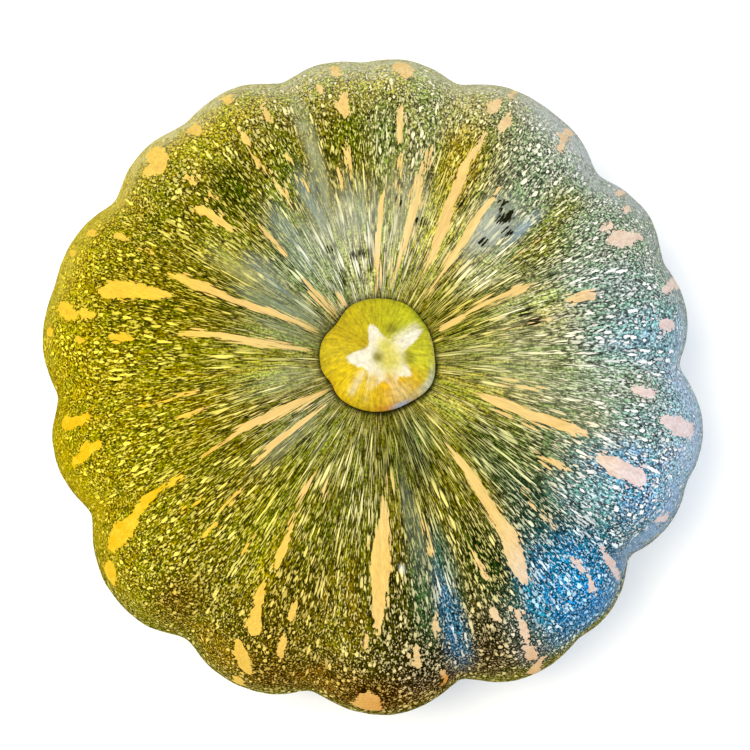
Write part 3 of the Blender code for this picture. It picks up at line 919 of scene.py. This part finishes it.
def paint_stem(mesh, points, azimuth, outside, girth_share, on_top):
    """Stores what the stem's shader needs at each vertex."""
    x, y = points[:, 0], points[:, 1]
    tint = tone_ring(STEM_TONES, azimuth)
    for at, half_width, low, high, color, strength in STEM_PATCHES:
        share = bump(turn(azimuth - at), half_width) * ramp(girth_share, low, high)
        tint = blend(tint, paint(*color), strength * share)
    rag_size, rag_depth = CREAM_RAGS
    cream = 1.0 - ramp(outside + rag_depth * roughness_field(points, rag_size), *CREAM_EDGE)
    for at, start, end, half_width, strength in CREAM_RIDGES:
        turned = math.radians(at)
        ahead = x * math.cos(turned) + y * math.sin(turned)
        across = -x * math.sin(turned) + y * math.cos(turned)
        comes = ramp(ahead, start + RIDGE_COMES[0], start + RIDGE_COMES[1])
        goes = ramp(ahead, end + RIDGE_GOES[0], end + RIDGE_GOES[1])
        cream = np.maximum(cream, strength * (comes * (1.0 - goes)) * bump(across, half_width))
    for at, half_width in FADED_ARMS:
        faded = FADED_SHARE * bump(turn(azimuth - at), half_width)
        cream *= 1.0 - faded * ramp(np.hypot(x, y), *FADED_REACH)
    cream = np.clip(cream, 0.0, 1.0) * on_top
    tint = blend(tint, paint(*CREAM), cream)
    # spots on the cut stem; two of the darker ones are painted shade in the star's notches
    for at, radius, color, strength in STEM_SPOTS:
        tint = blend(tint, paint(*color), strength * near_point(x, y, at, radius) * on_top)
    under = STEM_UNDER_SHARE * (1.0 - on_top) * (1.0 - ramp(girth_share, *STEM_UNDER_REACH))
    tint = blend(tint, paint(*STEM_UNDER), under)
    store(mesh, "tint", tint)
    store(mesh, "fibres", fibre_place(azimuth, FIBRE_RING, FIBRE_STEP * np.hypot(x, y)))
    store(mesh, "cut", cream)


def make_stem(material):
    """The stem stub on a fine mesh, fibrous down its flanks."""
    mesh, azimuth, ring = sphere_mesh("squash_stem", *STEM_MESH)
    share = ring / math.pi
    points, outside, girth_share = stem_points(azimuth, share)
    on_top = (share <= STEM_TOP_SHARE).astype(float)
    width, height = STEM_FIBRES
    fibres = fibre_place(azimuth, STEM_GIRTH, FIBRE_STRETCH * np.hypot(points[:, 0], points[:, 1]))
    relief = height * roughness_field(fibres, width) * ramp(outside, 0.0, FIBRES_FULL) * on_top
    grain_size, grain_share = CUT_GRAIN
    points[:, 2] += relief + grain_share * height * roughness_field(points, grain_size) * on_top
    scale, shift = box_fit(points, STEM_BOX)
    paint_stem(mesh, points, azimuth, outside, girth_share, on_top)
    place_vertices(mesh, points * scale + shift)
    show_piece("squash_stem", mesh, material, "stem")


# ---------------------------------------------------------------- materials

class Shader:
    """The node tree of one material, with short ways to add to it."""

    def __init__(self, name):
        self.material = bpy.data.materials.new(name)
        self.material.use_nodes = True
        self.tree = self.material.node_tree
        self.surface = self.tree.nodes["Principled BSDF"].inputs

    def feed(self, socket, value):
        """Gives a socket a number, a colour or another node's output."""
        if isinstance(value, bpy.types.NodeSocket):
            self.tree.links.new(value, socket)
        else:
            socket.default_value = value

    def add(self, kind, inputs, **settings):
        """Adds a node and returns its outputs."""
        node = self.tree.nodes.new(kind)
        for name, value in settings.items():
            setattr(node, name, value)
        for key, value in inputs.items():
            self.feed(node.inputs[key], value)
        return node.outputs

    def read(self, name, output="Fac"):
        """What a vertex attribute holds."""
        return self.add("ShaderNodeAttribute", {}, attribute_name=name)[output]

    def maths(self, operation, first, second):
        """Maths with two numbers."""
        return self.add("ShaderNodeMath", {0: first, 1: second}, operation=operation)[0]

    def swing(self, value, middle, size):
        """How far a number is from its middle, times a size."""
        return self.maths("MULTIPLY", self.maths("SUBTRACT", value, middle), size)

    def shift(self, operation, first, second):
        """Vector maths, for places in a pattern."""
        return self.add("ShaderNodeVectorMath", {0: first, 1: second}, operation=operation)[0]

    def ramp(self, value, low, high, start=0.0, end=1.0):
        """A smooth step from start, where value is low, to end, where it is high."""
        inputs = {"Value": value, "From Min": low, "From Max": high, "To Min": start, "To Max": end}
        return self.add("ShaderNodeMapRange", inputs, interpolation_type="SMOOTHSTEP")[0]

    def noise(self, place, scale, detail, output="Fac"):
        """Soft noise at a place in a pattern, mostly between 0.3 and 0.7."""
        return self.add("ShaderNodeTexNoise", {"Vector": place, "Scale": scale, "Detail": detail})[output]

    def mix(self, share, first, second, mode="MIX"):
        """Colours mixed by a share."""
        inputs = {0: share, 6: first, 7: second}
        return self.add("ShaderNodeMix", inputs, data_type="RGBA", blend_type=mode)[2]

    def blend(self, share, first, second):
        """Numbers mixed by a share."""
        return self.add("ShaderNodeMix", {0: share, 2: first, 3: second}, data_type="FLOAT")[0]

    def bump(self, height, distance):
        """Relief whose height is given in a unit of some metres."""
        return self.add("ShaderNodeBump", {"Height": height, "Distance": distance})[0]


def fleck_layer(shader, place, cover):
    """Brightness of one layer of flecks, and their dark rims, from a place in cells."""
    cells = shader.add("ShaderNodeTexVoronoi", {"Vector": place, "Scale": 1.0})
    chance = shader.add("ShaderNodeSeparateColor", {"Color": cells["Color"]})
    radius = shader.maths("MULTIPLY", shader.ramp(chance["Red"], 0.0, 1.0, *FLECK_RADII), cover)
    inside = shader.maths("SUBTRACT", radius, cells["Distance"])
    bright = shader.maths("MULTIPLY", shader.ramp(inside, *FLECK_EDGE),
                          shader.ramp(chance["Green"], 0.0, 0.8, 0.62, 1.06))
    return bright, shader.ramp(inside, *RIM_REACH)


def fleck_pattern(rind, cells, fine):
    """Place in the wobbling cells, and there the brightness of all flecks and their dark rims."""
    wobble = rind.shift("SUBTRACT", rind.noise(cells, 1.1, 3.0, "Color"), (0.5, 0.5, 0.5))
    place = rind.shift("ADD", cells, rind.shift("MULTIPLY", wobble, FLECK_WOBBLE))
    cover = rind.maths("MULTIPLY", rind.read("cover"), rind.ramp(fine, 0.3, 0.7, 0.75, 1.2))
    outer_bright, outer_rim = fleck_layer(rind, place, cover)
    inner_bright, inner_rim = fleck_layer(rind, rind.shift("MULTIPLY", place, INNER_CELLS), cover)
    line_bright, line_rim = fleck_layer(rind, rind.shift("MULTIPLY", place, STREAK_CELLS), cover)
    dither = rind.ramp(rind.noise(place, 0.6, 2.0), 0.3, 0.7, -0.4, 0.4)
    inner = rind.ramp(rind.maths("ADD", rind.read("inner"), dither), 0.42, 0.58)
    streak = rind.ramp(rind.maths("ADD", rind.read("streak"), dither), 0.35, 0.65)
    bright = rind.blend(streak, rind.blend(inner, outer_bright, inner_bright), line_bright)
    rim = rind.blend(streak, rind.blend(inner, outer_rim, inner_rim), line_rim)
    return place, bright, rim


def ground_color(rind, cells, place, rim):
    """The dark ground between the flecks, mottled, and darkest round each fleck."""
    ground = rind.read("ground", "Color")
    green = rind.mix(1.0, ground, GREEN_TURN, "MULTIPLY")
    brown = rind.mix(1.0, ground, BROWN_TURN, "MULTIPLY")
    ground = rind.mix(rind.ramp(rind.noise(cells, 0.28, 2.0), 0.38, 0.62), green, brown)
    solid = rind.add("ShaderNodeTexCoord", {})["Object"]
    grain = rind.ramp(rind.noise(solid, 1500.0, 1.0), 0.35, 0.65, *GRAIN_LEVELS)
    level = rind.ramp(rind.noise(place, 1.9, 2.0), 0.36, 0.66, *GROUND_LEVELS)
    level = rind.maths("MULTIPLY", level, rind.ramp(rim, 0.0, 1.0, 1.0, RIM_LEVEL))
    level = rind.maths("MULTIPLY", level, grain)
    return rind.mix(1.0, ground, level, "MULTIPLY")


def marked_share(rind, cells, mark, bright):
    """How much a big mark covers, its edge ragged and gripping the flecks beside it."""
    wander = rind.swing(rind.noise(cells, 0.55, 2.0), 0.5, MARK_WANDER)
    teeth = rind.swing(rind.noise(cells, 1.7, 3.0), 0.48, MARK_TEETH)
    grip = rind.swing(bright, 0.2, MARK_GRIP)
    ragged = rind.maths("ADD", rind.maths("ADD", mark, grip), rind.maths("ADD", wander, teeth))
    return rind.ramp(ragged, -0.1, 0.14)


def rind_material():
    """Mottled rind: fine flecks on a dark ground, big pale marks, waxy bloom with a painted glow over the
    rim, scabs, and a painted shadow round the stem.
    """
    rind = Shader("mottled_rind")
    cells = rind.read("cells", "Vector")
    fine = rind.noise(cells, 2.1, 3.0)
    patchy = rind.noise(cells, 0.45, 4.0)
    fleck = rind.read("fleck", "Color")
    mark = rind.read("mark")

    place, bright, rim = fleck_pattern(rind, cells, fine)
    halo = rind.ramp(mark, -2.4, -0.3, 1.0, 0.5)
    dots = rind.ramp(rind.noise(cells, 2.6, 1.0), 0.56, 0.64, 0.0, 0.6)
    flecked = rind.maths("MAXIMUM", rind.maths("MULTIPLY", bright, halo), dots)
    color = rind.mix(flecked, ground_color(rind, cells, place, rim), fleck)

    # waxy bloom, and over the rim a painted glow of light
    wax_and_glow = rind.maths("MULTIPLY", rind.read("bloom_and_glow", "Alpha"), rind.ramp(patchy, 0.34, 0.6, 0.4, 1.0))
    color = rind.mix(wax_and_glow, color, rind.read("bloom_and_glow", "Color"))

    marked = marked_share(rind, cells, mark, bright)
    tint = rind.mix(rind.ramp(patchy, 0.35, 0.65, 0.0, 0.22), rind.read("mark_tint", "Color"), fleck)
    tint = rind.mix(1.0, tint, rind.ramp(fine, 0.3, 0.7, 0.86, 1.08), "MULTIPLY")
    color = rind.mix(marked, color, tint)

    scab = rind.read("scab")
    torn = rind.maths("MULTIPLY", scab, rind.ramp(rind.noise(cells, 1.3, 4.0), 0.42, 0.6))
    scabbed = rind.ramp(torn, 0.28, 0.45)
    color = rind.mix(scabbed, color, (*paint(*SCAB), 1.0))
    color = rind.mix(rind.read("scar"), color, (*paint(*BLOSSOM_SCAR), 1.0))
    # painted shadow in the gap round the stem
    seat = rind.maths("MULTIPLY", rind.read("seat"), SEAT_SHADOW_SHARE)
    color = rind.mix(seat, color, (*paint(*SEAT_SHADOW), 1.0))
    rind.feed(rind.surface["Base Color"], color)

    rough = rind.ramp(fine, 0.3, 0.7, 0.40, 0.52)
    rough = rind.blend(marked, rough, 0.5)
    rough = rind.blend(wax_and_glow, rough, 0.72)
    rough = rind.blend(scabbed, rough, 0.9)
    rind.feed(rind.surface["Roughness"], rough)
    rind.feed(rind.surface["Specular IOR Level"], 0.0)
    relief = rind.maths("ADD", rind.maths("MULTIPLY", fine, 0.5), rind.maths("MULTIPLY", scab, 1.4))
    rind.feed(rind.surface["Normal"], rind.bump(relief, 0.00022))
    return rind.material


def cork_material():
    """Corky stem: yellow fibrous flanks and a pale cut star."""
    cork = Shader("corky_stem")
    fibres = cork.read("fibres", "Vector")
    solid = cork.add("ShaderNodeTexCoord", {})["Object"]
    strands = cork.blend(cork.read("cut"), cork.noise(fibres, 2.2, 4.0), 0.55)
    grain = cork.noise(solid, 900.0, 3.0)
    tint = cork.read("tint", "Color")
    color = cork.mix(1.0, tint, cork.ramp(strands, 0.3, 0.7, 0.74, 1.16), "MULTIPLY")
    color = cork.mix(1.0, color, cork.ramp(grain, 0.35, 0.65, 0.88, 1.1), "MULTIPLY")
    speck = cork.ramp(cork.noise(solid, 650.0, 4.0), 0.66, 0.72, 0.0, 0.5)
    color = cork.mix(speck, color, (*paint(*STEM_SPECK), 1.0))
    cork.feed(cork.surface["Base Color"], color)
    cork.feed(cork.surface["Specular IOR Level"], 0.16)
    cork.feed(cork.surface["Roughness"], cork.ramp(strands, 0.3, 0.7, 0.55, 0.8))
    relief = cork.maths("ADD", strands, cork.maths("MULTIPLY", grain, 0.6))
    cork.feed(cork.surface["Normal"], cork.bump(relief, 0.0004))
    return cork.material


def floor_material():
    """Plain matt white paper."""
    paper = Shader("white_paper")
    paper.feed(paper.surface["Base Color"], (*FLOOR_COLOR, 1.0))
    paper.feed(paper.surface["Roughness"], 0.9)
    paper.feed(paper.surface["Specular IOR Level"], 0.1)
    return paper.material


# ---------------------------------------------------------------- studio

def make_floor():
    """A wide pale floor under the squash."""
    mesh = bpy.data.meshes.new("studio_floor")
    shape = bmesh.new()
    bmesh.ops.create_grid(shape, x_segments=1, y_segments=1, size=FLOOR_HALF_SIDE)
    shape.to_mesh(mesh)
    shape.free()
    mesh.materials.append(floor_material())
    floor = bpy.data.objects.new("studio_floor", mesh)
    floor.location.z = CAD_BOX[0][2]
    bpy.context.scene.collection.objects.link(floor)


def aimed(thing, place, target):
    """Puts a light or the camera at a place, with its -Z axis towards a target."""
    thing.location = place
    thing.rotation_euler = (target - place).to_track_quat("-Z", "Y").to_euler()
    bpy.context.scene.collection.objects.link(thing)


def direction(azimuth, elevation):
    """Unit vector from the squash towards an azimuth, 0 being -Y, and an elevation, in degrees."""
    around, up = math.radians(azimuth), math.radians(elevation)
    return Vector((math.sin(around) * math.cos(up), -math.cos(around) * math.cos(up), math.sin(up)))


def make_lights(centre):
    """A pale dome, and a warm soft key high on the left."""
    for name, azimuth, elevation, side, power, color in LAMPS:
        lamp = bpy.data.lights.new(name, "AREA")
        lamp.shape = "DISK"
        lamp.size = side
        lamp.energy = power
        lamp.color = color
        place = centre + LAMP_DISTANCE * direction(azimuth, elevation)
        aimed(bpy.data.objects.new(name, lamp), place, centre)
    world = bpy.data.worlds.new("studio_dome")
    world.use_nodes = True
    sky = world.node_tree.nodes["Background"].inputs
    sky["Color"].default_value = (*DOME_COLOR, 1.0)
    sky["Strength"].default_value = DOME_STRENGTH
    bpy.context.scene.world = world
    bpy.context.scene.view_settings.view_transform = "Standard"


def make_camera(centre):
    """The camera, looking steeply down at the squash."""
    data = bpy.data.cameras.new("camera")
    data.lens = CAMERA_LENS
    data.sensor_width = CAMERA_SENSOR
    data.clip_start = 0.01
    towards = direction(0.0, CAMERA_ELEVATION)
    up = direction(180.0, 90.0 - CAMERA_ELEVATION)
    aim = centre + Vector((CAMERA_OFFSET[0] * MM, 0.0, 0.0)) + up * CAMERA_OFFSET[1] * MM
    camera = bpy.data.objects.new("camera", data)
    aimed(camera, aim + towards * CAMERA_DISTANCE, aim)
    bpy.context.scene.camera = camera


rim_centre = Vector(make_fruit(rind_material())) * MM
make_stem(cork_material())
make_floor()
make_lights(rim_centre)
make_camera(rim_centre)
